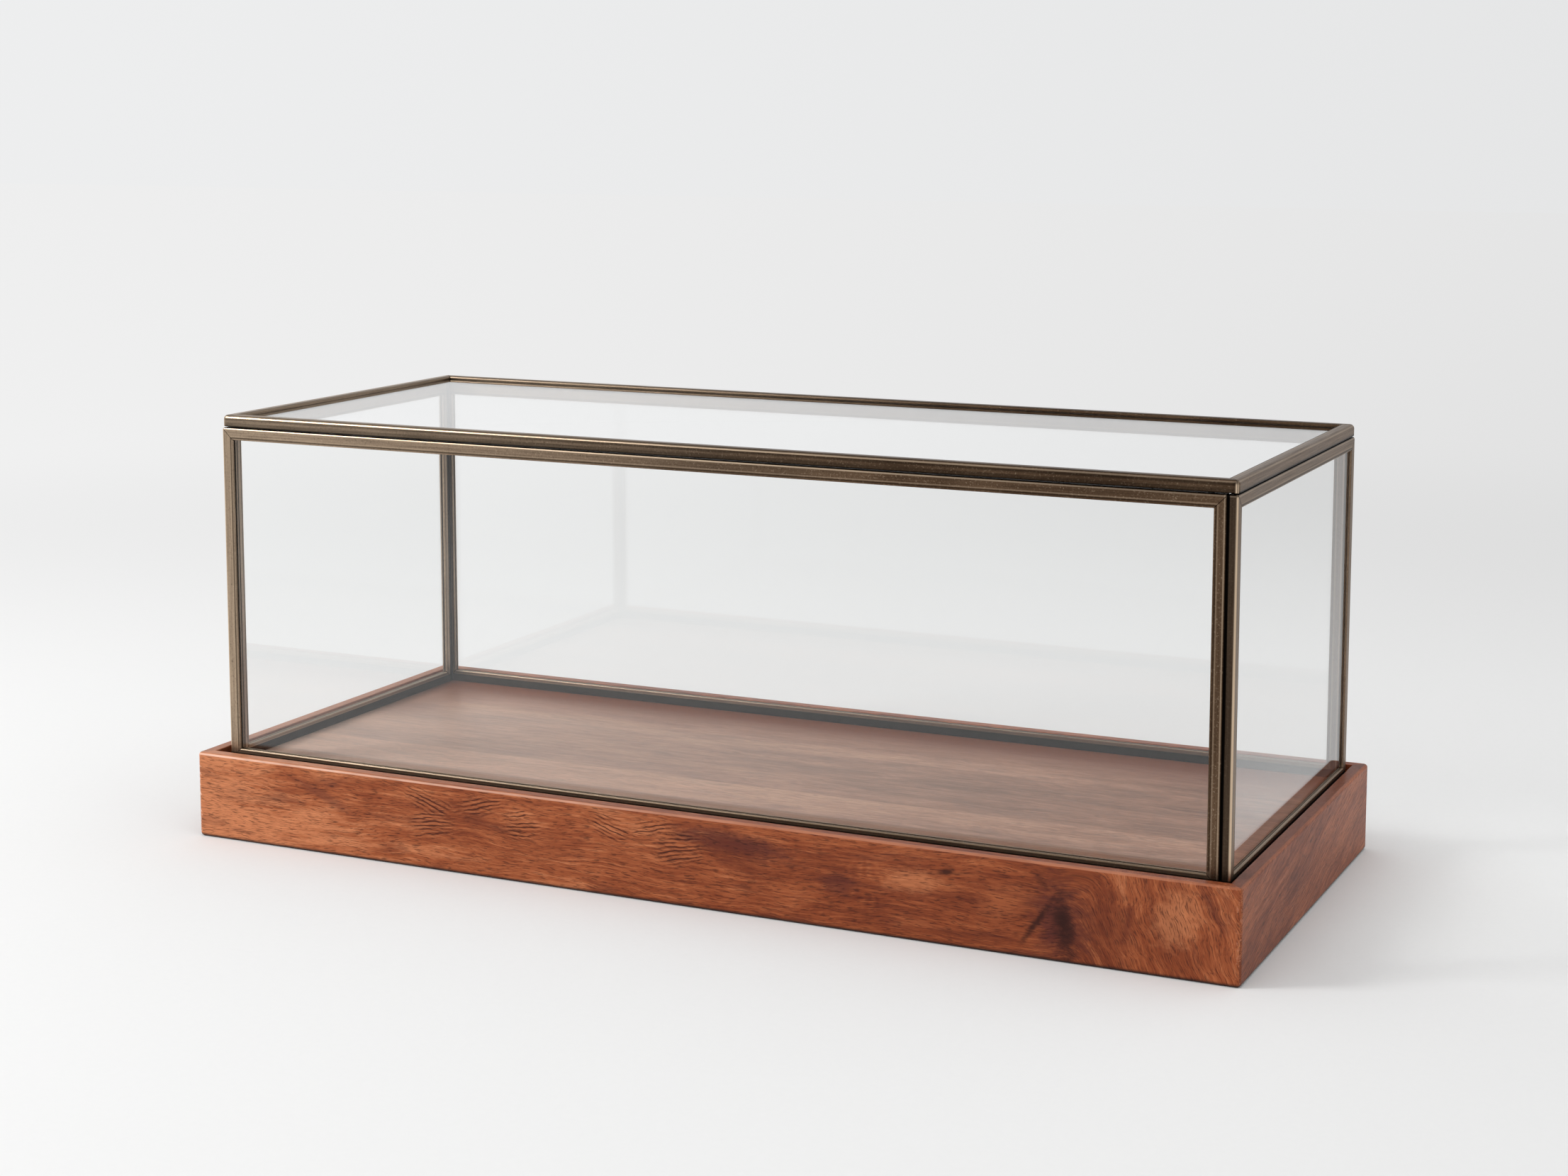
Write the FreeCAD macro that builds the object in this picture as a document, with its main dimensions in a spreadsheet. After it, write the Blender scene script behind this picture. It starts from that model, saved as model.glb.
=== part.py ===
import FreeCAD, Part
import os
import re
import Sketcher
from FreeCAD import Placement, Rotation, Vector

# Countertop display case: a mitred wooden tray, a glazed metal case that stands in the
# tray's recess, and a glazed lid on two small hinges along the case's back.
# +X runs along the case, +Y towards the hinged back and +Z up. The origin is on the
# surface that the tray stands on, under the middle of the tray. Sizes are millimetres.

SIZES = [
    ("tray_length", 610.0, "tray, outside, end to end"),
    ("tray_depth", 260.0, "tray, outside, front to back"),
    ("tray_height", 49.0, "tray board, foot to rim"),
    ("board_thick", 18.0, "tray board below its rebate"),
    ("rim_width", 7.5, "board left above the rebate"),
    ("recess_depth", 6.0, "rim top down to the floor"),
    ("floor_thick", 12.0, "floor planks"),
    ("floor_play", 0.3, "room for the floor to swell"),
    ("tray_corner_radius", 2.5, "upright outer corners of the tray"),
    ("tray_rim_radius", 1.8, "outer edge of the rim"),
    ("tray_foot_radius", 2.2, "outer edge of the foot"),
    ("rim_inner_radius", 0.6, "inner edge of the rim"),
    ("end_play", 4.0, "rim to the case's ends, with the case in the middle"),
    ("side_play", 5.5, "rim to the case's front and back"),
    ("case_shift", 2.0, "case to the right of the middle of its recess"),
    ("seat_play", 0.05, "floor to the foot of the case"),
    ("case_height", 191.95, "glazed frames, foot to top"),
    ("face_width", 7.0, "face of a frame rail"),
    ("frame_thick", 5.0, "side frame, face to back"),
    ("lid_thick", 6.4, "lid frame, face to underside"),
    ("slot_width", 2.6, "slot that holds the glass"),
    ("slot_depth", 4.6, "slot, from the rail's inner edge"),
    ("glass_thick", 2.4, "panes"),
    ("glass_play", 0.5, "pane edge to the slot's root"),
    ("frame_corner_radius", 1.5, "corners of a side frame"),
    ("frame_edge_radius", 1.2, "outer edge of a side frame's face"),
    ("frame_back_radius", 0.4, "outer edge of a side frame's back"),
    ("lip_roundness", 0.65, "radius beside the glass as a share of the lip's thickness"),
    ("lid_corner_radius", 3.0, "corners of the lid"),
    ("lid_edge_radius", 2.4, "outer edge of the lid's face"),
    ("lid_foot_radius", 0.3, "outer edge of the lid's underside"),
    ("lid_gap", 0.6, "case to lid"),
    ("hinge_length", 26.0, "hinge, end to end"),
    ("hinge_inset", 105.0, "end of the case to the middle of a hinge"),
    ("leaf_depth", 4.2, "hinge leaf on the rail"),
    ("leaf_thick", 0.46, "hinge leaf"),
    ("leaf_inset", 0.2, "hinge leaf let into its rail"),
    ("barrel_radius", 1.8, "hinge barrel"),
    ("barrel_play", 0.12, "barrel to the frames, and knuckle to knuckle"),
    ("pin_radius", 0.8, "hinge pin"),
    ("pin_play", 0.04, "hinge pin in its bore"),
    ("pin_head_radius", 1.15, "head of the hinge pin"),
    ("pin_head_height", 0.5, "head of the hinge pin"),
    ("stop_reach", 2.6, "hinge axis to the edge of the stop lug"),
    ("stop_thick", 1.0, "stop lug"),
    ("stop_droop", 25.6, "stop lug below level with the lid shut, degrees"),
    ("bumper_radius", 1.5, "bumper under the lid"),
    ("bumper_inset", 14.0, "end of the case to the middle of a bumper"),
    ("bumper_play", 0.1, "bumper to the lid"),
]

# Sizes that follow from the ones above
DERIVED = {
    "floor_top": "tray_height - recess_depth",
    "rebate_foot": "floor_top - floor_thick",
    "floor_length": "tray_length - 2 * (rim_width + floor_play)",
    "floor_depth": "tray_depth - 2 * (rim_width + floor_play)",
    "case_length": "tray_length - 2 * (rim_width + end_play)",
    "case_depth": "tray_depth - 2 * (rim_width + side_play)",
    "case_right": "case_shift + case_length / 2",
    "case_left": "case_shift - case_length / 2",
    "case_foot": "floor_top + seat_play",
    "case_top": "case_foot + case_height",
    "long_frame_length": "case_length - frame_thick",
    "left_frame_length": "case_depth - 2 * frame_thick",
    "lid_foot": "case_top + lid_gap",
    "frame_lip": "(frame_thick - slot_width) / 2",
    "lid_lip": "(lid_thick - slot_width) / 2",
    "pane_margin": "face_width - slot_depth + glass_play",
    "hinge_axis_y": "case_depth / 2 + barrel_radius + barrel_play",
    "hinge_axis_z": "case_top + lid_gap / 2",
    "leaf_rim": "case_depth / 2 - leaf_depth",
    "case_leaf_foot": "case_top - leaf_inset",
    "lid_leaf_foot": "lid_foot + leaf_inset - leaf_thick",
    "knuckle_length": "(hinge_length - 2 * barrel_play) / 3",
    "knuckle_reach": "barrel_radius + barrel_play",
    "plank_width": "floor_depth / 3",
}

NO_TURN = Rotation()

doc = FreeCAD.newDocument("display_case")
sheet = doc.addObject("Spreadsheet::Sheet", "dimensions")
for row, (alias, number, meaning) in enumerate(SIZES, start=1):
    sheet.set("A%d" % row, alias)
    sheet.set("B%d" % row, str(number))
    sheet.setAlias("B%d" % row, alias)
    sheet.set("C%d" % row, meaning)
doc.recompute()

ALIASES = {alias for alias, number, meaning in SIZES}
exported = []


def formula(text):
    """Write a size in words as an expression on the sheet's cells."""
    def cell(match):
        word = match.group(0)
        if word in DERIVED:
            return "(" + formula(DERIVED[word]) + ")"
        if word in ALIASES:
            return "dimensions." + word
        raise ValueError("unknown size: " + word)
    return re.sub(r"[a-z_]{2,}", cell, text)


def bind(thing, prop, text):
    thing.setExpression(prop, formula(text))


def place(thing, position, turn=NO_TURN):
    """Turn a piece, and tie its position to the sheet."""
    thing.Placement = Placement(Vector(), turn)
    for axis, text in zip("xyz", position):
        bind(thing, "Placement.Base." + axis, text)


def box(name, length, depth, height, corner, turn=NO_TURN):
    solid = doc.addObject("Part::Box", name)
    bind(solid, "Length", length)
    bind(solid, "Width", depth)
    bind(solid, "Height", height)
    place(solid, corner, turn)
    return solid


def outline(body, name, role, corners):
    """Closed straight-sided sketch on one of the body's planes, corners as pairs of sizes."""
    sketch = body.newObject("Sketcher::SketchObject", name)
    plane = [feature for feature in body.Origin.OriginFeatures if feature.Role == role][0]
    sketch.AttachmentSupport = [(plane, "")]
    sketch.MapMode = "FlatFace"
    count = len(corners)
    spokes = [Rotation(Vector(0, 0, 1), 360.0 * i / count) for i in range(count)]
    rough = [spoke.multVec(Vector(10, 0, 0)) for spoke in spokes]
    for i in range(count):
        sketch.addGeometry(Part.LineSegment(rough[i], rough[(i + 1) % count]), False)
    for i in range(count):
        sketch.addConstraint(Sketcher.Constraint("Coincident", i, 2, (i + 1) % count, 1))
    for i, corner in enumerate(corners):
        for kind, text, start, axis in zip(("DistanceX", "DistanceY"), corner, (10.0, 10.0), (-2, -1)):
            if text == "0":
                sketch.addConstraint(Sketcher.Constraint("PointOnObject", i, 1, axis))
                continue
            number = sketch.addConstraint(Sketcher.Constraint(kind, -1, 1, i, 1, start))
            sketch.renameConstraint(number, "%s_%d" % (kind, i))
            bind(sketch, "Constraints.%s_%d" % (kind, i), text)
    return sketch


def pad(body, name, sketch, height):
    feature = body.newObject("PartDesign::Pad", name)
    feature.Profile = sketch
    bind(feature, "Length", height)
    doc.recompute()
    return feature


def pocket_through(body, name, sketch):
    """Cut a sketch right through the body, to both sides of the sketch."""
    before = body.Shape.Volume
    feature = body.newObject("PartDesign::Pocket", name)
    feature.Profile = sketch
    feature.Type = "ThroughAll"
    feature.Midplane = True
    doc.recompute()
    if body.Shape.Volume >= before:
        raise RuntimeError(body.Label + ": " + name + " cuts nothing")
    return feature


def round_edges(body, name, radius, chosen):
    """Round the edges of the body that the test picks."""
    base = body.Tip
    names = ["Edge%d" % (i + 1) for i, edge in enumerate(base.Shape.Edges) if chosen(edge)]
    if not names:
        raise RuntimeError(name + " finds no edge to round")
    feature = body.newObject("PartDesign::Fillet", name)
    feature.Base = (base, names)
    bind(feature, "Radius", radius)
    body.Tip = feature
    doc.recompute()
    return feature


def at_height(height):
    return lambda edge: all(abs(v.Z - height) < 1e-6 for v in edge.Vertexes)


def upright(edge):
    return abs(edge.tangentAt(edge.FirstParameter).z) > 0.999


def rounded_block(name, length, depth, height, corner, face, foot):
    """The outside of a finished frame: a block with its corners and long edges eased."""
    body = doc.addObject("PartDesign::Body", name)
    half_x = "(%s) / 2" % length
    half_y = "(%s) / 2" % depth
    corners = [("-" + half_x, "-" + half_y), (half_x, "-" + half_y),
               (half_x, half_y), ("-" + half_x, half_y)]
    sketch = outline(body, name + "_outline", "XY_Plane", corners)
    block = pad(body, name + "_block", sketch, height)
    top = block.Length.Value
    round_edges(body, name + "_corners", corner, upright)
    round_edges(body, name + "_face_edge", face, at_height(top))
    round_edges(body, name + "_foot_edge", foot, at_height(0.0))
    return body


def mitred_stock(name, length, width, height, cut):
    """A rail, outer edge on X, mitred inwards, with one channel cut along it in Y and Z."""
    body = doc.addObject("PartDesign::Body", name + "_stock")
    half = "(%s) / 2" % length
    mitred = [("-" + half, "0"), (half, "0"),
              ("%s - %s" % (half, width), width), ("-%s + %s" % (half, width), width)]
    pad(body, name + "_mitred", outline(body, name + "_face", "XY_Plane", mitred), height)
    pocket_through(body, name + "_channel", outline(body, name + "_section", "YZ_Plane", cut))
    return body


def ease_inner_edges(body, name, width, radii):
    """Round a rail's inner long edges, given as pairs of height and radius."""
    for number, (level, radius) in enumerate(radii):
        def inner(edge):
            return all(abs(v.Y - width) < 1e-6 and abs(v.Z - level) < 1e-6 for v in edge.Vertexes)
        round_edges(body, "%s_inner_edge_%d" % (name, number), radius, inner)


def mitred_frame(prefix, rails, length, depth, width, height, cut, inner_edges, block, centre, turn):
    """Four mitred rails, each trimmed to the rounded outside of the frame.

    In the frame's own plane X runs along its length and Y along its depth, and its face
    looks up Z. Rails are named in the order foot, head, left, right of that plane.
    """
    spots = [
        (("0", "-(%s) / 2" % depth, "0"), 0, length),
        (("0", "(%s) / 2" % depth, "0"), 180, length),
        (("-(%s) / 2" % length, "0", "0"), -90, depth),
        (("(%s) / 2" % length, "0", "0"), 90, depth),
    ]
    for rail, (spot, angle, run) in zip(rails, spots):
        label = prefix + rail
        stock = mitred_stock(label, run, width, height, cut)
        ease_inner_edges(stock, label, *inner_edges)
        place(stock, spot, Rotation(Vector(0, 0, 1), angle))
        piece = doc.addObject("Part::Common", label)
        piece.Base = stock
        piece.Tool = block
        place(piece, centre, turn)
        exported.append(piece)


def pane(label, length, depth, centre, turn):
    """A plain sheet of glass, centred on its frame's plane, its back face on that plane."""
    body = doc.addObject("PartDesign::Body", label)
    half_x = "(%s) / 2 - pane_margin" % length
    half_y = "(%s) / 2 - pane_margin" % depth
    corners = [("-(%s)" % half_x, "-(%s)" % half_y), (half_x, "-(%s)" % half_y),
               (half_x, half_y), ("-(%s)" % half_x, half_y)]
    pad(body, label + "_sheet", outline(body, label + "_outline", "XY_Plane", corners), "glass_thick")
    place(body, centre, turn)
    exported.append(body)


def glazed_frame(prefix, rails, glass, length, depth, thick, lip, rounding, centre, outward, turn):
    """A frame of mitred channel rails with its pane. The slot leaves a lip on each side."""
    head = "%s + slot_width" % lip
    root = "face_width - slot_depth"
    beyond = "face_width + slot_depth"
    slot = [(root, lip), (beyond, lip), (beyond, head), (root, head)]
    block = rounded_block(prefix + "outside", length, depth, thick, *rounding)
    face_edge = (getattr(sheet, thick), "lip_roundness * " + lip)
    back_edge = (0.0, "frame_back_radius")
    inner_edges = (sheet.face_width, [face_edge, back_edge])
    mitred_frame(prefix, rails, length, depth, "face_width", thick, slot, inner_edges, block, centre, turn)
    inset = "(%s - glass_thick) / 2" % thick
    seat = [text + " + %d * %s" % (way, inset) if way else text for text, way in zip(centre, outward)]
    pane(glass, length, depth, seat, turn)


def tray():
    """Four mitred boards, rebated inside for the floor, and the floor's three planks."""
    block = rounded_block("tray_outside", "tray_length", "tray_depth", "tray_height",
                          "tray_corner_radius", "tray_rim_radius", "tray_foot_radius")
    above_rim = "tray_height + recess_depth"
    beyond_board = "board_thick + recess_depth"
    rebate = [("rim_width", "rebate_foot"), (beyond_board, "rebate_foot"),
              (beyond_board, above_rim), ("rim_width", above_rim)]
    inner_edges = (sheet.rim_width, [(sheet.tray_height, "rim_inner_radius")])
    boards = ("front_board", "back_board", "left_board", "right_board")
    mitred_frame("tray_", boards, "tray_length", "tray_depth", "board_thick", "tray_height",
                 rebate, inner_edges, block, ("0", "0", "0"), NO_TURN)
    for number, row in enumerate(("front", "middle", "back")):
        corner = ("-floor_length / 2", "-floor_depth / 2 + %d * plank_width" % number, "rebate_foot")
        exported.append(box("floor_%s_plank" % row, "floor_length", "plank_width", "floor_thick", corner))


def glass_case():
    """Four glazed side frames. The right end frame covers the ends of the long frames, and
    the left end frame stands between them."""
    upright_turn = Rotation(Vector(1, 0, 0), 90)
    rounding = ("frame_corner_radius", "frame_edge_radius", "frame_back_radius")
    middle = "case_foot + case_height / 2"
    back_plane = "case_depth / 2 - frame_thick"
    long_middle = "case_shift - frame_thick / 2"
    # Frame, its rails' ends, run, centre, way that it faces, and turn about Z
    sides = [
        ("front", "left", "right", "long_frame_length",
         (long_middle, "-(%s)" % back_plane, middle), (0, -1, 0), 0),
        ("back", "right", "left", "long_frame_length",
         (long_middle, back_plane, middle), (0, 1, 0), 180),
        ("left_end", "back", "front", "left_frame_length",
         ("case_left + frame_thick", "0", middle), (-1, 0, 0), -90),
        ("right_end", "front", "back", "case_depth",
         ("case_right - frame_thick", "0", middle), (1, 0, 0), 90),
    ]
    for side, first, second, run, centre, outward, angle in sides:
        rails = ("bottom_rail", "top_rail", first + "_stile", second + "_stile")
        turn = Rotation(Vector(0, 0, 1), angle).multiply(upright_turn)
        glazed_frame(side + "_frame_", rails, side + "_glass", run, "case_height",
                     "frame_thick", "frame_lip", rounding, centre, outward, turn)


def lid():
    """The lid's glazed frame, lying on its back with its face up."""
    rails = ("front_rail", "back_rail", "left_rail", "right_rail")
    rounding = ("lid_corner_radius", "lid_edge_radius", "lid_foot_radius")
    glazed_frame("lid_", rails, "lid_glass", "case_length", "case_depth", "lid_thick",
                 "lid_lip", rounding, ("case_shift", "0", "lid_foot"), (0, 0, 1), NO_TURN)


def rod(name, radius, length, start):
    """A cylinder along +X from its start point."""
    solid = doc.addObject("Part::Cylinder", name)
    bind(solid, "Radius", radius)
    bind(solid, "Height", length)
    place(solid, start, Rotation(Vector(0, 1, 0), 90))
    return solid


def fused(name, pieces):
    join = doc.addObject("Part::MultiFuse", name)
    join.Shapes = pieces
    return join


def cut_away(name, base, tool):
    piece = doc.addObject("Part::Cut", name)
    piece.Base = base
    piece.Tool = tool
    return piece


def let_in(label, foot, starts):
    """Sink a shallow recess for each hinge leaf into a finished rail."""
    rail = doc.getObject(label)
    rail.Label = label + "_plain"
    recesses = []
    for number, start in enumerate(starts):
        recesses.append(box("%s_recess_%d" % (label, number), "hinge_length", "leaf_depth",
                            "leaf_inset", (start, "leaf_rim", foot)))
    cut_rail = cut_away(label + "_recessed", rail, fused(label + "_recesses", recesses))
    cut_rail.Label = label
    exported[exported.index(rail)] = cut_rail


def hinge_leaf(label, start, leaf_foot, knuckles, stop_knuckles=()):
    """A leaf in the gap, and its knuckles rolled round the pin. Knuckles are numbered 0 to 2.

    A stop knuckle also has a lug, which swings round to meet the case's back face and so
    holds the open lid a little past the upright.
    """
    corner = (start, "leaf_rim", leaf_foot)
    parts = [box(label + "_plate", "hinge_length", "leaf_depth", "leaf_thick", corner)]
    for number in knuckles:
        spot = ("%s + %d * (knuckle_length + barrel_play)" % (start, number), "hinge_axis_y", "hinge_axis_z")
        name = "%s_knuckle_%d" % (label, number)
        parts.append(rod(name, "barrel_radius", "knuckle_length", spot))
        parts.append(box(name + "_root", "knuckle_length", "knuckle_reach", "leaf_thick",
                         (spot[0], "case_depth / 2", leaf_foot)))
        if number in stop_knuckles:
            droop = Rotation(Vector(1, 0, 0), -sheet.stop_droop)
            parts.append(box(name + "_stop", "knuckle_length", "stop_reach", "stop_thick", spot, droop))
    bore = rod(label + "_bore", "pin_radius + pin_play", "hinge_length",
               (start, "hinge_axis_y", "hinge_axis_z"))
    exported.append(cut_away(label, fused(label + "_blank", parts), bore))


def hinge_pin(label, start):
    """The pin, with a low head at each end."""
    shank = rod(label + "_shank", "pin_radius", "hinge_length", (start, "hinge_axis_y", "hinge_axis_z"))
    heads = []
    for end, along in (("near", "%s - pin_head_height" % start), ("far", "%s + hinge_length" % start)):
        heads.append(rod("%s_%s_head" % (label, end), "pin_head_radius", "pin_head_height",
                         (along, "hinge_axis_y", "hinge_axis_z")))
    exported.append(fused(label, [shank] + heads))


def hinges():
    """Two small butt hinges with the case and the lid rails cut for their leaves."""
    middles = {"left": "case_left + hinge_inset", "right": "case_right - hinge_inset"}
    starts = {side: "%s - hinge_length / 2" % middle for side, middle in middles.items()}
    let_in("back_frame_top_rail", "case_leaf_foot", starts.values())
    let_in("lid_back_rail", "lid_foot", starts.values())
    for side, start in starts.items():
        hinge_leaf(side + "_hinge_case_leaf", start, "case_leaf_foot", (0, 2))
        hinge_leaf(side + "_hinge_lid_leaf", start, "lid_leaf_foot", (1,), (1,))
        hinge_pin(side + "_hinge_pin", start)


def bumpers():
    """Two small pads on the front top rail that hold the lid's front at the hinges' gap."""
    spots = {"left": "case_left + bumper_inset", "right": "case_right - bumper_inset"}
    pads = []
    for side, along in spots.items():
        disc = doc.addObject("Part::Cylinder", "bumper_" + side)
        bind(disc, "Radius", "bumper_radius")
        bind(disc, "Height", "lid_gap - bumper_play")
        place(disc, (along, "-case_depth / 2 + frame_thick / 2 + frame_back_radius", "case_top"))
        pads.append(disc)
    exported.append(fused("lid_bumpers", pads))


tray()
glass_case()
lid()
hinges()
bumpers()
doc.recompute()

for thing in doc.Objects:
    if "Invalid" in thing.State or "Error" in thing.State:
        raise RuntimeError("%s did not compute: %s" % (thing.Label, thing.State))

os.makedirs("parts", exist_ok=True)
for piece in exported:
    shape = piece.Shape
    if shape.isNull() or not shape.isValid() or not shape.Solids:
        raise RuntimeError(piece.Label + " has no valid solid")
for piece in exported:
    piece.Shape.exportStep(os.path.join("parts", piece.Label + ".step"))
print("%d sub-parts written" % len(exported))
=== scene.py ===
import math

import bpy
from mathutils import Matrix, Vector


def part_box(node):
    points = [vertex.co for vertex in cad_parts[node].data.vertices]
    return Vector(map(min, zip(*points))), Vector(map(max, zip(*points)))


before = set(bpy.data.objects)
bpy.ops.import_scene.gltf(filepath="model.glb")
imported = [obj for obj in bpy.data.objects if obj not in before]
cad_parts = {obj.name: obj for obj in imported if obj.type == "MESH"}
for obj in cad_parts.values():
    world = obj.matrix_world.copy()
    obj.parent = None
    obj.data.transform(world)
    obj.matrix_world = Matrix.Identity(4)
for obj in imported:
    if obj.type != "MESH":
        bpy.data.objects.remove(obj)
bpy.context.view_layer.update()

# A glazed countertop case that stands in a wooden tray. Every piece is a CAD node that keeps
# its shape and gets its finish here. Finishes are drawn in millimetres, the studio in metres.

MM = 1000.0


class Nodes:
    """A node tree. Each method adds one node or a few, and returns the output to use."""

    def __init__(self, tree):
        self.tree = tree
        tree.nodes.clear()

    def put(self, node, socket, value):
        """Link or set one input. None leaves it as it is."""
        if isinstance(value, bpy.types.NodeSocket):
            self.tree.links.new(value, node.inputs[socket])
        elif value is not None:
            node.inputs[socket].default_value = value

    def node(self, kind, inputs=(), **settings):
        """Add a node, and return the node itself."""
        made = self.tree.nodes.new(kind)
        for name, value in settings.items():
            setattr(made, name, value)
        for socket, value in dict(inputs).items():
            self.put(made, socket, value)
        return made

    def maths(self, operation, a, b=None, c=None, clamp=False):
        inputs = {0: a, 1: b, 2: c}
        return self.node("ShaderNodeMath", inputs, operation=operation, use_clamp=clamp).outputs[0]

    def times(self, product, *others):
        for other in others:
            product = self.maths("MULTIPLY", product, other)
        return product

    def times_plus(self, a, b, c, clamp=False):
        """a * b + c."""
        return self.maths("MULTIPLY_ADD", a, b, c, clamp)

    def minus(self, a, b):
        return self.maths("SUBTRACT", a, b)

    def off(self, value, place):
        """How far a value is from a place, either way."""
        return self.maths("ABSOLUTE", self.minus(value, place))

    def vector(self, operation, a, b=None):
        made = self.node("ShaderNodeVectorMath", {0: a}, operation=operation)
        if operation == "SCALE":
            self.put(made, "Scale", b)
        elif b is not None:
            self.put(made, 1, b)
        return made.outputs["Value" if operation == "LENGTH" else 0]

    def place(self):
        return self.node("ShaderNodeTexCoord").outputs["Object"]

    def place_in_mm(self):
        return self.vector("SCALE", self.place(), MM)

    def parts(self, vector):
        return self.node("ShaderNodeSeparateXYZ", {0: vector}).outputs

    def join(self, x, y, z):
        return self.node("ShaderNodeCombineXYZ", {0: x, 1: y, 2: z}).outputs[0]

    def noise(self, where, scale=1.0, detail=2.0, roughness=0.5):
        inputs = {"Vector": where, "Scale": scale, "Detail": detail, "Roughness": roughness}
        return self.node("ShaderNodeTexNoise", inputs, noise_dimensions="3D").outputs["Fac"]

    def span(self, value, low, high, to_low=0.0, to_high=1.0, shape="LINEAR"):
        """Map low..high to to_low..to_high, held at the ends."""
        inputs = {"Value": value, "From Min": low, "From Max": high,
                  "To Min": to_low, "To Max": to_high}
        made = self.node("ShaderNodeMapRange", inputs, interpolation_type=shape, clamp=True)
        return made.outputs[0]

    def ease(self, value, low, high, to_low=0.0, to_high=1.0):
        """Like span, with soft ends."""
        return self.span(value, low, high, to_low, to_high, "SMOOTHSTEP")

    def near(self, value, place, inner, outer, share):
        """share where value is within inner of place, and nothing beyond outer."""
        return self.ease(self.off(value, place), inner, outer, share, 0.0)

    def mix(self, share, a, b, blend="MIX"):
        """Blend two colours."""
        made = self.node("ShaderNodeMix", data_type="RGBA", blend_type=blend)
        self.put(made, 0, share)
        self.put(made, 6, a)
        self.put(made, 7, b)
        return made.outputs[2]

    def ramp(self, value, stops):
        """The colour at value, between stops of (position, colour)."""
        made = self.node("ShaderNodeValToRGB", {0: value})
        marks = made.color_ramp.elements
        while len(marks) < len(stops):
            marks.new(0.5)
        for mark, (position, colour) in zip(marks, stops):
            mark.position = position
            mark.color = colour
        return made.outputs[0]

    def bump(self, height, distance, strength):
        inputs = {"Height": height, "Distance": distance, "Strength": strength}
        return self.node("ShaderNodeBump", inputs).outputs[0]

    def either(self, share, first, second):
        """The first shader node where share is 0, and the second where it is 1."""
        inputs = {0: share, 1: first.outputs[0], 2: second.outputs[0]}
        return self.node("ShaderNodeMixShader", inputs)


class Finish(Nodes):
    """A material and its node tree."""

    def __init__(self, name):
        self.material = bpy.data.materials.new(name)
        self.material.use_nodes = True
        super().__init__(self.material.node_tree)
        self.output = self.node("ShaderNodeOutputMaterial")

    def show(self, shader):
        self.put(self.output, "Surface", shader.outputs[0])

    def surface(self, **inputs):
        """Show a Principled shader with these inputs."""
        named = {name.replace("_", " "): value for name, value in inputs.items()}
        shader = self.node("ShaderNodeBsdfPrincipled", named)
        self.show(shader)
        return shader


class Box:
    """The box round some pieces, in millimetres."""

    def __init__(self, *names):
        boxes = [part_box(name) for name in names]
        self.low = Vector([min(box[0][axis] for box in boxes) for axis in range(3)]) * MM
        self.high = Vector([max(box[1][axis] for box in boxes) for axis in range(3)]) * MM
        self.middle = (self.low + self.high) / 2.0
        self.half = (self.high - self.low) / 2.0

    def beyond(self, f, axis):
        """How far a point of a finish is outside the box along an axis, below 0 inside it."""
        return f.minus(f.off(f.xyz[axis], self.middle[axis]), self.half[axis])

    def inside(self, f, axis):
        """How far a point of a finish is inside the box along an axis."""
        return f.times(self.beyond(f, axis), -1.0)


def srgb(red, green, blue):
    """A colour as it looks on a screen, 0 to 255, as the linear colour that a shader takes."""
    def linear(value):
        value /= 255.0
        return value / 12.92 if value <= 0.04045 else ((value + 0.055) / 1.055) ** 2.4
    return (linear(red), linear(green), linear(blue), 1.0)


# The tray's ends reach its front and back only where the mitres meet the rounded corners
tray = Box("tray_left_board", "tray_right_board")
bars = [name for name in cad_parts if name.endswith(("_rail", "_stile"))]
case = Box(*[name for name in bars if not name.startswith("lid_")])
lid = Box(*[name for name in bars if name.startswith("lid_")])

# ---- Wood ----

# Axes of the fibres, of the board's height and of its thickness, for each way a board lies
GRAIN = {"X": (0, 2, 1), "Y": (1, 2, 0), "floor": (0, 1, 2)}

# A wood's tints: palest wood, orange wood, red-brown wood, darkest wood, purple-brown clouds,
# open pores
PALE, WARM, MID, DARK, PURPLE, PORE = range(6)
FRONT_WOOD = [srgb(212, 136, 92), srgb(175, 98, 59), srgb(146, 74, 42), srgb(104, 46, 29),
              srgb(90, 43, 36), srgb(50, 22, 17)]
BOARD_WOOD = [srgb(190, 116, 76), srgb(168, 97, 62), srgb(142, 77, 48), srgb(106, 53, 36),
              srgb(112, 62, 49), srgb(46, 24, 20)]
FLOOR_WOOD = [srgb(210, 160, 130), srgb(190, 141, 112), srgb(168, 121, 95), srgb(130, 92, 71),
              srgb(134, 104, 89), srgb(72, 49, 39)]


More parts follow.
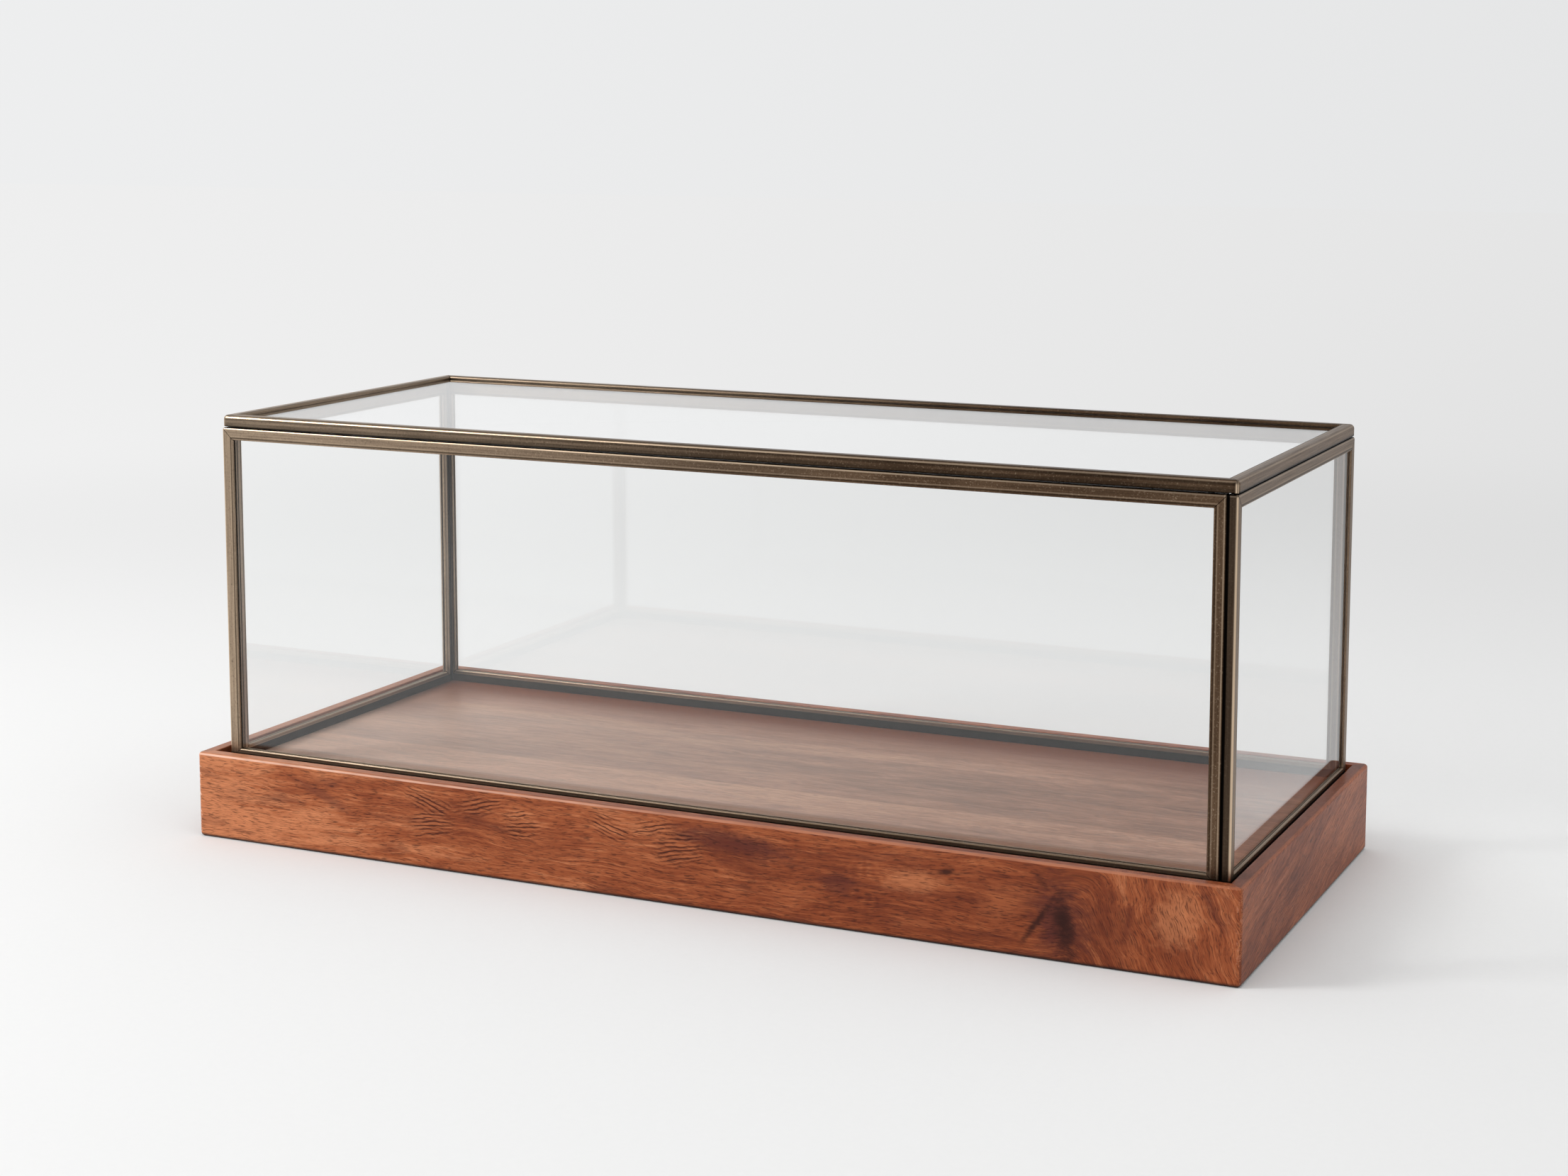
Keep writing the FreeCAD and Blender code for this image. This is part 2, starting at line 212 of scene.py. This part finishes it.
class Board(Finish):
    """A board's finish, with the places and the noise that its figure is drawn from."""

    def __init__(self, name, grain, seed):
        super().__init__(name)
        self.xyz = self.parts(self.place_in_mm())
        self.along, self.across, self.deep = [self.xyz[axis] for axis in GRAIN[grain]]
        self.spot = self.join(self.along, self.across, self.deep)
        self.shift = (seed * 131.7, seed * 71.3, seed * 37.9)
        self.fray = self.times_plus(self.layer(self.spot, 7.0, 4.0, 4.0, 0.65), 1.5, -0.75)
        self.sway = self.minus(self.layer(self.spot, 110.0, 34.0, 3.0), 0.5)

    def layer(self, where, length, width, detail=2.0, roughness=0.55):
        """Noise whose features are length by width."""
        moved = self.vector("MULTIPLY", self.vector("ADD", where, self.shift),
                            (1.0 / length, 1.0 / width, 1.0 / width))
        return self.noise(moved, detail=detail, roughness=roughness)

    def fibres(self, lean, swirl):
        """Places along the fibres, which slope by lean and sway. swirl is (middle, height,
        start, end, degrees): beyond a knot, from start to end, they turn round its middle."""
        run, rise = self.along, self.times_plus(self.along, -lean, self.across)
        if swirl:
            middle, height, start, end, degrees = swirl
            angle = self.ease(self.times_plus(self.sway, 30.0, self.along), start, end,
                              0.0, math.radians(degrees))
            cos, sin = self.maths("COSINE", angle), self.maths("SINE", angle)
            off_run, off_rise = self.minus(run, middle), self.minus(rise, height)
            run = self.times_plus(off_run, cos, self.times(off_rise, sin))
            rise = self.minus(self.times(off_rise, cos), self.times(off_run, sin))
        return self.join(run, self.times_plus(self.sway, 16.0, rise),
                         self.times_plus(self.sway, 9.0, self.deep))

    def turned(self, middle, height, degrees):
        """Lengthwise and crosswise distances from a point on the face, at an angle to it."""
        along, across, _ = self.parts(self.vector("SUBTRACT", self.spot, (middle, height, 0.0)))
        cos, sin = math.cos(math.radians(degrees)), math.sin(math.radians(degrees))
        return (self.times_plus(along, cos, self.times(across, sin)),
                self.times_plus(across, cos, self.times(along, -sin)))

    def oval(self, middle, height, half_length, half_width, degrees, inner=0.3, outer=1.25):
        """A soft spot with a ragged outline, 1 within inner times its size and 0 beyond outer."""
        along, across = self.turned(middle, height, degrees)
        reach = self.vector("LENGTH", self.join(self.maths("DIVIDE", along, half_length),
                                                self.maths("DIVIDE", across, half_width), 0.0))
        return self.ease(self.maths("ADD", reach, self.fray), inner, outer, 1.0, 0.0)

    def ripple(self, start, end, low, high, pitch):
        """A band of curl across the fibres, above 0 on its crests and below 0 between them."""
        phase = self.times_plus(self.layer(self.spot, 26.0, 14.0), 3.6,
                                self.maths("DIVIDE", self.along, pitch))
        wave = self.maths("SINE", self.times(phase, 2.0 * math.pi))
        band = self.times(self.ease(self.along, start - 9.0, start + 9.0),
                          self.ease(self.along, end - 9.0, end + 9.0, 1.0, 0.0),
                          self.ease(self.across, low - 5.0, low + 5.0),
                          self.ease(self.across, high - 5.0, high + 5.0, 1.0, 0.0),
                          self.ease(self.layer(self.spot, 14.0, 11.0), 0.42, 0.58))
        return self.times(wave, band)

    def ladder(self, middle, height, half_length, half_width, degrees, fan):
        """Rows of short checks, one above the other, that spread by fan over their length:
        the dark lines, and the glints of the wood that stands up between them."""
        long_way, cross_way = self.turned(middle, height, degrees)
        spread = self.times_plus(long_way, fan / half_length, 1.0)
        row_pitch = 2.2
        rows = self.maths("DIVIDE", self.maths("DIVIDE", cross_way, spread), row_pitch)
        rows = self.times_plus(self.layer(self.spot, 12.0, 7.0), 1.5, rows)
        wave = self.maths("SINE", self.times(rows, 2.0 * math.pi))
        broken = self.ease(self.layer(self.join(long_way, cross_way, 0.0), 13.0, 1.6), 0.36, 0.47)
        patch = self.oval(middle, height, half_length, half_width, degrees, 0.55, 1.15)
        lines = self.times(self.ease(wave, 0.40, 0.90), broken, patch)
        return lines, self.times(self.span(wave, -0.2, -0.9, 0.0, 0.28), patch)


def hardwood(name, grain, seed, palette, lean=0.0, shade=None, stains=(), ladders=(), curls=(),
             swirl=None, marks=(), specular=0.16, contrast=1.0, open_pores=0.6):
    """Oiled hardwood.

    shade is (start, end, tone, tone), an even change of tone along the board, partly the
    wood's own and partly painted light that is paler on the left, where the key light falls.
    stains are (tint, share, then as oval), ladders are as ladder, curls as ripple and swirl as
    fibres. marks are functions that paint wear, painted highlights, painted shadow and painted
    reflections over its figure.
    """
    f = Board(name, grain, seed)
    fibre = f.fibres(lean, swirl)
    broad = f.layer(fibre, 230.0, 42.0, 1.0)
    clouds = f.layer(fibre, 44.0, 9.0, 4.0, 0.6)
    streaks = f.layer(fibre, 32.0, 1.4, 4.0, 0.62)
    fine = f.layer(fibre, 8.0, 0.42)
    pores = f.layer(fibre, 5.6, 0.52, 2.0, 0.5)
    haze = f.layer(f.vector("ADD", fibre, (57.0, 31.0, 11.0)), 34.0, 7.0, 3.0, 0.6)

    tone = 0.5
    for layer, weight in ((clouds, 0.74), (broad, 0.6), (streaks, 0.75)):
        tone = f.times_plus(f.minus(layer, 0.5), weight * contrast, tone)
    # Partly painted light: paler towards the left, where the key light falls
    if shade:
        tone = f.maths("ADD", tone, f.span(f.along, *shade))
    for curl in curls:
        tone = f.times_plus(f.ripple(*curl), 0.06, tone)

    colour = f.ramp(tone, [(0.20, palette[PALE]), (0.42, palette[WARM]), (0.60, palette[MID]),
                           (0.86, palette[DARK])])
    colour = f.mix(f.ease(haze, 0.52, 0.74, 0.0, 0.42), colour, palette[PURPLE])
    colour = f.mix(f.span(fine, 0.35, 0.70, 0.0, 0.35), colour,
                   f.mix(1.0, colour, palette[MID], "MULTIPLY"))
    for (tint, share, *outline) in stains:
        colour = f.mix(f.times(f.oval(*outline), share), colour, palette[tint])
    dashes = f.ease(pores, 0.52, 0.66, 0.0, open_pores)
    for ladder in ladders:
        lines, glints = f.ladder(*ladder)
        colour = f.mix(glints, colour, palette[PALE])
        dashes = f.maths("MAXIMUM", dashes, f.times(lines, 0.9))
    colour = f.mix(dashes, colour, palette[PORE])
    for paint in marks:
        colour = paint(f, colour)

    relief = f.times_plus(dashes, -1.0, f.times(fine, 0.3))
    f.surface(Base_Color=colour, Roughness=f.times_plus(streaks, 0.14, 0.35), IOR=1.5,
              Specular_IOR_Level=specular, Normal=f.bump(relief, 0.00006, 0.4))
    return f.material


def rim_wear_and_light(right_dark):
    """Wear and painted light on a tray board: the rim's top painted half paler on the left, as a
    painted sheen where the key light falls, and darker by the share right_dark on the right,
    as painted shade; a bright line along its outer edge that is partly wear and partly a
    painted highlight; and chips down its corners."""
    def paint(f, colour):
        x, y, z = f.xyz
        ends, sides = tray.beyond(f, 0), tray.beyond(f, 1)
        up = f.minus(z, tray.high.z)
        right = f.span(x, -300.0, 60.0)
        # Painted sheen on the left of the rim's top, and painted shade on its right
        share = f.times(f.span(up, -0.5, -0.1), f.span(right, 0.0, 1.0, 0.5, right_dark))
        colour = f.mix(share, colour, f.mix(right, srgb(198, 142, 112), srgb(98, 53, 38)))

        # The bright outer edge line: wear, and a painted highlight on the part of the rounding
        # turned to the key light, fading to the right
        edge = f.ease(f.maths("ADD", f.maths("MAXIMUM", ends, sides), up), -1.7, -1.4, 0.0, 0.85)
        turned_to = f.minus(up, f.span(right, 0.5, 1.0, -0.95, -0.4))
        lit = f.span(f.maths("ABSOLUTE", turned_to), 0.35, 0.65, 1.0, 0.0)
        where = f.join(x, y, z)
        uneven = f.noise(f.vector("MULTIPLY", where, (0.3, 0.3, 1.0)), 0.2)
        edge = f.times(edge, lit, f.span(x, 250.0, 304.0, 1.0, 0.4),
                       f.span(uneven, 0.3, 0.6, 0.7, 1.0))
        chips = f.ease(f.noise(where, 0.5, 3.0), 0.56, 0.66, 0.0, 0.6)
        upright = f.span(f.maths("ADD", ends, sides), -1.9, -1.5)
        edge = f.maths("MAXIMUM", edge, f.times(upright, chips))
        return f.mix(edge, colour, f.mix(right, srgb(250, 204, 180), srgb(186, 120, 90)))
    return paint


def painted_foot_shadow(f, colour):
    """Painted contact shadow along the tray's rounded lower edge."""
    return f.mix(f.ease(f.xyz[2], 0.4, 2.6, 0.95, 0.0), colour, srgb(36, 17, 12))


def floor_painted_light(f, colour):
    """Painted light on the floor: a darker strip along the front, where the front glass mirrors
    the tray's rim, painted shade along the back rail, a painted pale sheen towards the left, a
    painted reflection of the back left post in the back left corner, and painted shade in the
    gap between the case and the rim."""
    x, y, _ = f.xyz
    # Painted reflection: darker where the front glass mirrors the tray's rim
    colour = f.mix(f.span(y, -79.5, -77.0, 0.62, 0.0), colour, srgb(112, 74, 50))
    # Painted shade along the back rail
    colour = f.mix(f.span(y, 50.0, 94.0, 0.0, 0.95), colour, srgb(118, 66, 44))
    # Painted pale sheen towards the left, except along the back
    painted_sheen = f.times(f.span(y, 45.0, 100.0, 1.0, 0.0), f.span(x, -290.0, 220.0, 0.44, 0.0))
    colour = f.mix(painted_sheen, colour, srgb(214, 196, 184))
    # Painted reflection of the back left post
    corner = f.times(f.ease(x, -276.0, -222.0, 0.6, 0.0), f.span(y, 0.0, 45.0))
    colour = f.mix(corner, colour, srgb(112, 68, 48))
    # Painted shade in the gap between the case and the rim
    outside = f.maths("MAXIMUM", case.beyond(f, 0), case.beyond(f, 1))
    return f.mix(f.ease(outside, -1.0, 0.5, 0.0, 0.85), colour, srgb(50, 33, 26))


# The front board's own figure: a dark crotch with a pale swirl on each side, a small eye and
# clouds, and rows of checks on its left. A later stain covers an earlier one.
front_stains = [
    (DARK, 0.60, 236.0, 22.0, 24.0, 18.0, 80.0, 0.0, 1.35),
    (PALE, 0.40, 136.0, 31.0, 19.0, 7.0, 5.0),
    (PALE, 0.50, 274.0, 30.0, 17.0, 13.0, 60.0),
    (PURPLE, 0.95, 214.0, 21.0, 26.0, 18.0, 95.0, 0.1, 1.2),
    (WARM, 0.60, 184.0, 26.0, 16.0, 11.0, 30.0, 0.1, 1.2),
    (PURPLE, 0.60, 96.0, 24.0, 12.0, 7.0, 0.0),
    (PORE, 0.85, 155.0, 38.2, 5.0, 1.7, 12.0),
    (PORE, 0.45, 158.0, 37.6, 14.0, 0.9, 8.0),
    (PORE, 0.85, 202.5, 19.0, 17.0, 2.1, 57.0, 0.1, 1.3),
    (PORE, 0.95, 216.5, 19.0, 20.0, 6.4, 99.0, 0.0, 1.3),
    (PORE, 0.50, 205.5, 39.0, 6.0, 2.4, 130.0, 0.0, 1.3),
    (DARK, 0.60, 249.0, 25.0, 13.0, 2.6, 76.0, 0.0, 1.3),
    (PURPLE, 0.80, 36.0, 38.0, 38.0, 7.0, -4.0),
    (PURPLE, 0.45, -218.0, 33.0, 26.0, 3.4, -22.0),
    (DARK, 0.45, 38.0, 30.0, 22.0, 9.0, -25.0),
    (DARK, 0.35, -120.0, 31.0, 9.0, 6.0, 0.0)]
front_ladders = [
    (-151.0, 38.3, 17.0, 6.6, -18.0, 0.2),
    (-148.5, 25.6, 17.0, 8.5, 8.0, -0.2),
    (-117.4, 39.5, 17.0, 6.4, 14.0, -0.2),
    (-90.9, 31.8, 13.0, 9.5, 7.0, 0.1),
    (-35.2, 37.2, 14.0, 7.0, -16.0, 0.2),
    (-11.0, 40.0, 15.0, 5.0, 12.0, 0.0),
    (3.6, 30.7, 17.0, 10.0, 9.0, -0.2)]
finishes = {
    "tray_front_board": hardwood(
        "figured_front_board", "X", 1.0, FRONT_WOOD, shade=(-310.0, -130.0, -0.45, 0.02),
        stains=front_stains, ladders=front_ladders, curls=[(88.0, 124.0, 10.0, 38.0, 5.2)],
        swirl=(224.0, 24.0, 206.0, 244.0, -70.0), marks=(rim_wear_and_light(0.3), painted_foot_shadow)),
    "tray_back_board": hardwood(
        "back_board", "X", 2.0, FRONT_WOOD, lean=0.03, marks=(rim_wear_and_light(0.0), painted_foot_shadow),
        stains=[(PORE, 0.8, -90.0, 22.0, 6.0, 2.2, 8.0), (DARK, 0.4, -88.0, 22.0, 16.0, 8.0, 5.0)]),
    "tray_left_board": hardwood(
        "left_board", "Y", 3.0, BOARD_WOOD, lean=-0.10, marks=(rim_wear_and_light(0.0), painted_foot_shadow)),
    "tray_right_board": hardwood(
        "right_board", "Y", 4.0, BOARD_WOOD, lean=0.25, marks=(rim_wear_and_light(0.8), painted_foot_shadow),
        stains=[(PALE, 0.35, 75.0, 22.0, 34.0, 6.0, 14.0)]),
}
for row, seed, tone in (("front", 5.0, -0.14), ("middle", 6.7, 0.10), ("back", 8.4, -0.02)):
    finishes["floor_%s_plank" % row] = hardwood(
        "%s_floor_plank" % row, "floor", seed, FLOOR_WOOD, marks=(floor_painted_light,), specular=0.09,
        shade=(-300.0, 300.0, tone - 0.06, tone + 0.08), contrast=0.95, open_pores=0.45)

# ---- Brass ----

# Dull and bright patina, dirt in its grain, also painted as shade on the frames, and bare metal,
# also painted as highlights on them
FRAME_TONES = (srgb(94, 73, 56), srgb(114, 91, 71), srgb(41, 29, 20), srgb(217, 192, 164))
HINGE_TONES = (srgb(140, 114, 76), srgb(178, 148, 98), srgb(84, 66, 42), srgb(206, 170, 124))


class Brass(Finish):
    """Brass under a patina, drawn along an axis."""

    def __init__(self, name, drawn, tones):
        super().__init__(name)
        dull, bright, self.dark, self.gold = tones
        where = self.place_in_mm()
        self.xyz = self.parts(where)
        stretch = tuple(0.02 if axis == drawn else 1.0 for axis in "XYZ")
        self.lines = self.noise(self.vector("MULTIPLY", where, stretch), 1.4, 4.0, 0.6)
        self.clouds = self.noise(where, 0.022, 3.0, 0.55)
        self.specks = self.noise(where, 1.1, 3.0, 0.65)
        self.patina = self.mix(self.span(self.clouds, 0.35, 0.65), dull, bright)

    def grained(self, colour):
        """A colour with the grain's dark lines, dark specks and bright specks in it."""
        colour = self.mix(self.span(self.lines, 0.38, 0.68, 0.0, 0.40), colour, self.dark)
        colour = self.mix(self.span(self.specks, 0.58, 0.72, 0.0, 0.5), colour, self.dark)
        return self.mix(self.span(self.specks, 0.42, 0.30, 0.0, 0.3), colour, self.gold)

    def metal(self, colour, roughness, worn_and_highlit=None, dirt_and_shade=None):
        """The finished metal, smoother under the marks of wear and painted highlight, and matt and
        sunk under the marks of dirt and painted shade.
        """
        relief = self.times_plus(self.lines, 0.6, self.times(self.specks, 0.3))
        uneven = self.times_plus(self.lines, 0.16, self.times_plus(self.clouds, 0.10, roughness))
        if worn_and_highlit is not None:
            relief = self.minus(relief, dirt_and_shade)
            uneven = self.times_plus(worn_and_highlit, -0.12, uneven)
            uneven = self.times_plus(dirt_and_shade, 0.4, uneven, clamp=True)
        self.surface(Base_Color=colour, Metallic=1.0, Roughness=uneven,
                     Normal=self.bump(relief, 0.00003, 0.3))
        return self.material


def hinge_brass(name):
    f = Brass(name, "X", HINGE_TONES)
    return f.metal(f.grained(f.patina), 0.21)


def frame_brass(name, drawn, outline, across, up, body, bands, line, arc, seams, pale, dark_sides):
    """The brass of one frame's bars along one axis.

    outline is the box round the frame, whose mitres run across its axes across and up. body
    is the box round the case or the lid, with line, the depth of a bright line below its top
    edge, which is worn metal and a painted highlight, and arc, how far in the worn metal and
    painted glint of its upright corners starts to fade and ends. bands are (depth, brightness)
    of painted light and shade down the body's sides, for the reflections in a rounded profile
    and the shade under the lid. seams are (axis, place, half width) of grooves painted dark as
    shade, with a painted highlight beside those placed along x. pale is the share of a greyer
    patina, and dark_sides darkens an end frame's narrow faces at the front and back, and
    paints shade on its corners behind the glass.
    """
    f = Brass(name, drawn, FRAME_TONES)
    x, _, z = f.xyz
    ends, sides = body.inside(f, 0), body.inside(f, 1)
    below = f.minus(body.high.z, z)

    # Painted light: the patina is paler towards the left, where the key light falls
    left = f.times(f.ease(x, -300.0, 150.0, 1.0, 0.0), 0.8)
    colour = f.mix(left, f.patina, srgb(190, 168, 144))
    colour = f.mix(pale, colour, srgb(206, 182, 158))
    colour = f.grained(colour)
    # Painted light and shade in bands down the sides, standing in for the reflections in a rounded
    # profile and the shade under the lid
    reach = 8.0
    shades = [(depth / reach, (level, level, level, 1.0)) for depth, level in bands]
    colour = f.mix(1.0, colour, f.ramp(f.maths("DIVIDE", below, reach), shades), "MULTIPLY")
    if dark_sides:
        colour = f.mix(f.span(sides, 0.25, 0.8, 0.78, 0.0), colour, f.dark)
        # Painted shade on the corners behind the glass
        behind_glass = f.times(f.span(ends, 4.0, 4.5), f.span(sides, 8.0, 8.6, 0.95, 0.0))
        colour = f.mix(behind_glass, colour, srgb(12, 10, 9))

    # Bare metal worn on the top edge and round the upright corners, which is also a painted
    # highlight and glint, less of it on the right, away from the key light
    outer_edge = f.span(f.maths("MINIMUM", ends, sides), 1.0, 1.5, 1.0, 0.0)
    worn_and_highlit = f.times(f.near(below, line, 0.15, 0.55, 0.9), outer_edge,
                     f.span(x, 0.0, 260.0, 1.0, 0.35))
    corners = f.ease(f.maths("MAXIMUM", ends, sides), *arc, 0.95, 0.0)
    worn_and_highlit = f.maths("MAXIMUM", worn_and_highlit, corners)
    colour = f.mix(worn_and_highlit, colour, f.gold)

    # A painted highlight line and a painted shade line beside the glass, dirt in the mitres, and
    # painted shade along the tray's rim
    inward = [outline.inside(f, axis) for axis in (across, up)]
    depth = f.maths("MINIMUM", *inward)
    colour = f.mix(f.near(depth, 4.9, 0.1, 0.5, 0.25), colour, f.gold)
    colour = f.mix(f.near(depth, 5.8, 0.2, 0.6, 0.65), colour, f.dark)
    dirt_and_shade = f.near(f.minus(*inward), 0.0, 0.12, 0.36, 0.8)
    if body is case:
        # On the bottom rails, a painted highlight line above the tray's rim, and painted shade
        # below it where the rim shades the rail
        foot_line = f.times(f.span(depth, 5.0, 5.4), f.span(z, 51.0, 52.0, 0.25, 0.0))
        colour = f.mix(foot_line, colour, f.gold)
        dirt_and_shade = f.maths("MAXIMUM", dirt_and_shade, f.span(z, 47.6, 48.3, 0.9, 0.0))
    for (axis, place, half_width) in seams:
        if axis == 0:
            # A painted highlight on the rounded edge beside the groove
            beside = place - half_width - 0.4
            colour = f.mix(f.near(f.xyz[axis], beside, 0.15, 0.5, 0.4), colour, f.gold)
        # The groove is painted dark as shade
        groove = f.near(f.xyz[axis], place, half_width * 0.5, half_width, 0.96)
        dirt_and_shade = f.maths("MAXIMUM", dirt_and_shade, groove)
    colour = f.mix(dirt_and_shade, colour, srgb(15, 11, 9))
    return f.metal(colour, 0.29, worn_and_highlit, dirt_and_shade)


# The grooves where the long frames meet the right end frame, and where the left end frame
# stands between them
right_groove = (0, Box("right_end_frame_front_stile").low.x, 1.2)
left_joint = Box("left_end_frame_front_stile").low.y
left_grooves = [(1, left_joint, 1.0), (1, -left_joint, 1.0)]

# Painted light and shade: dark along the case's top under the lid, and light and dark bands down
# the lid's sides
case_bands = [(0.0, 0.05), (0.25, 0.15), (0.55, 1.0)]
front_lid_bands = [(0.0, 1.0), (1.2, 0.9), (1.6, 0.46), (2.3, 0.42), (3.1, 0.84), (3.8, 0.82),
                   (4.4, 0.52), (5.7, 0.46), (6.2, 0.06)]
side_lid_bands = [(0.0, 1.0), (1.0, 0.85), (1.6, 0.9), (2.6, 1.1), (4.2, 1.05), (5.4, 0.80),
                  (5.9, 0.05)]
for frame_name, across, seams in (
        ("front_frame", 0, [right_groove]), ("back_frame", 0, [right_groove]),
        ("right_end_frame", 1, [right_groove]), ("left_end_frame", 1, left_grooves),
        ("lid", 0, [])):
    own = [name for name in bars if name.startswith(frame_name + "_")]
    made = {}
    for bar in own:
        half = list(Box(bar).half)
        drawn = "XYZ"[half.index(max(half))]
        if drawn not in made:
            if frame_name == "lid":
                up, body, line, arc = 1, lid, 1.0, (1.1, 2.1)
                bands = front_lid_bands if drawn == "X" else side_lid_bands
                pale = 0.25 if drawn == "Y" else 0.0
            else:
                up, body, line, arc = 2, case, 0.85, (0.605, 1.35)
                bands = case_bands
                pale = 0.25 if frame_name == "right_end_frame" else 0.0
            made[drawn] = frame_brass(
                "%s_brass_along_%s" % (frame_name, drawn.lower()), drawn, Box(*own), across, up,
                body, bands, line, arc, seams, pale, dark_sides="_end_" in frame_name)
        finishes[bar] = made[drawn]

# ---- Glass and rubber ----


def clear_glass(name):
    """Clear float glass, a little smeared and dusty. Lamps shine through it."""
    f = Finish(name)
    where = f.place_in_mm()
    smears = f.span(f.noise(where, 0.012, 3.0, 0.6), 0.52, 0.75, 0.0, 0.012)
    dust = f.ease(f.noise(where, 0.9), 0.74, 0.80, 0.0, 0.10)
    pane = f.surface(Base_Color=(0.985, 0.989, 0.988, 1.0), Roughness=f.maths("ADD", smears, dust),
                     IOR=1.5, Transmission_Weight=1.0)
    through = f.node("ShaderNodeBsdfTransparent", {0: (0.90, 0.905, 0.905, 1.0)})
    shadow = f.node("ShaderNodeLightPath").outputs["Is Shadow Ray"]
    f.show(f.either(shadow, pane, through))
    return f.material


def dark_rubber(name):
    """Dark rubber, a little dusty."""
    f = Finish(name)
    dust = f.span(f.noise(f.place_in_mm(), 0.8), 0.35, 0.7)
    f.surface(Base_Color=f.mix(dust, srgb(27, 24, 22), srgb(52, 47, 43)), Roughness=0.62)
    return f.material


glass, hinges = clear_glass("clear_glass"), hinge_brass("hinge_brass")
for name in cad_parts:
    if name.endswith("_glass"):
        finishes[name] = glass
    elif "_hinge_" in name:
        finishes[name] = hinges
finishes["lid_bumpers"] = dark_rubber("rubber_pads")

for name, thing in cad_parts.items():
    thing.data.materials.clear()
    thing.data.materials.append(finishes[name])

# ---- Studio ----

LIGHT = 0.70


def backdrop_white(f, x):
    """How bright the surroundings look. x is -1 on the left and 1 on the right."""
    return f.times_plus(x, -0.125, 0.772)


def studio_wall(f, x, y):
    """How bright the studio round the table is in a reflection: a light wall on the left and
    behind the case, the darker side of the room in front of it, and a tall window on the
    right that only the upright corners show."""
    room = f.maths("ADD", f.times_plus(x, -0.33, 0.58), f.times(y, 0.17))
    towards = f.times_plus(x, 0.906, f.times(y, -0.423))
    return f.maths("ADD", room, f.ease(towards, 0.90, 0.97, 0.0, 0.8), clamp=True)


def paper(name):
    """Matt backdrop paper that runs out into the pale surroundings, so that no horizon shows."""
    f = Finish(name)
    x, y, _ = f.parts(f.place())
    fibre = f.noise(f.place(), 260.0, 3.0, 0.6)
    tint = f.mix(fibre, (0.845, 0.843, 0.838, 1.0), (0.865, 0.863, 0.858, 1.0))
    out = f.vector("LENGTH", f.join(x, y, 0.0))
    east, north = f.maths("DIVIDE", x, out), f.maths("DIVIDE", y, out)
    ray = f.node("ShaderNodeLightPath").outputs
    seen = f.maths("MAXIMUM", ray["Is Camera Ray"], ray["Is Transmission Ray"])
    shown = f.maths("MAXIMUM", seen, ray["Is Glossy Ray"])
    level = f.mix(ray["Is Glossy Ray"], backdrop_white(f, east), studio_wall(f, east, north))
    matt = f.node("ShaderNodeBsdfDiffuse", {0: tint})
    glow = f.node("ShaderNodeEmission", {0: level, 1: 1.0})
    f.show(f.either(f.times(shown, f.ease(out, 0.65, 1.9)), matt, glow))
    return f.material


def studio_floor():
    mesh = bpy.data.meshes.new("studio_floor")
    half = 8.0
    corners = [(-half, -half, 0), (half, -half, 0), (half, half, 0), (-half, half, 0)]
    mesh.from_pydata(corners, [], [(0, 1, 2, 3)])
    mesh.materials.append(paper("floor_paper"))
    floor = bpy.data.objects.new("studio_floor", mesh)
    bpy.context.collection.objects.link(floor)


def surroundings():
    """A pale studio: the light that it gives, how it looks, and what metal and glass show of it."""
    world = bpy.data.worlds.new("studio")
    bpy.context.scene.world = world
    world.use_nodes = True
    f = Nodes(world.node_tree)
    x, y, z = f.parts(f.node("ShaderNodeTexCoord").outputs["Generated"])
    ray = f.node("ShaderNodeLightPath").outputs
    seen = f.maths("MAXIMUM", ray["Is Camera Ray"], ray["Is Transmission Ray"])
    ceiling = f.ease(z, 0.42, 0.80)
    room = f.mix(ceiling, studio_wall(f, x, y), (0.13, 0.13, 0.13, 1.0))
    level = f.mix(seen, (LIGHT, LIGHT, LIGHT, 1.0), backdrop_white(f, x))
    level = f.mix(ray["Is Glossy Ray"], level, room)
    level = f.mix(1.0, level, (0.995, 1.0, 1.005, 1.0), "MULTIPLY")
    glow = f.node("ShaderNodeBackground", {0: level, 1: 1.0})
    f.node("ShaderNodeOutputWorld", {"Surface": glow.outputs[0]})


def lamp(name, place, aim, width, height, watts):
    data = bpy.data.lights.new(name, "AREA")
    data.shape = "RECTANGLE"
    data.size, data.size_y, data.energy = width, height, watts
    thing = bpy.data.objects.new(name, data)
    thing.location = place
    thing.rotation_euler = (Vector(aim) - Vector(place)).to_track_quat("-Z", "Y").to_euler()
    bpy.context.collection.objects.link(thing)


def photo_camera():
    """The photo's viewpoint, fitted to the case's edges, with its picture plane kept upright."""
    photo_width, photo_middle_row = 2212.0, 829.5
    focal_pixels, fitted_middle_row = 3727.44, 600.0
    data = bpy.data.cameras.new("photo_camera")
    data.sensor_width = 36.0
    data.lens = focal_pixels / photo_width * data.sensor_width
    data.shift_y = -(photo_middle_row - fitted_middle_row) / photo_width
    data.clip_start, data.clip_end = 0.05, 50.0
    camera = bpy.data.objects.new("photo_camera", data)
    camera.location = (0.62733, -1.3175, 0.42468)
    camera.rotation_euler = (math.radians(90.0 - 7.2707), 0.0, math.radians(25.3246))
    bpy.context.collection.objects.link(camera)
    bpy.context.scene.camera = camera


studio_floor()
surroundings()
lamp("key_softbox", (-1.540, -1.080, 1.380), (0.0, 0.0, 0.1), 0.5, 0.9, 20.0)
lamp("top_softbox", (0.25, -0.3, 2.1), (0.2, -0.24, 0.1), 1.6, 1.6, 7.0)
photo_camera()
bpy.context.scene.view_settings.view_transform = "Standard"
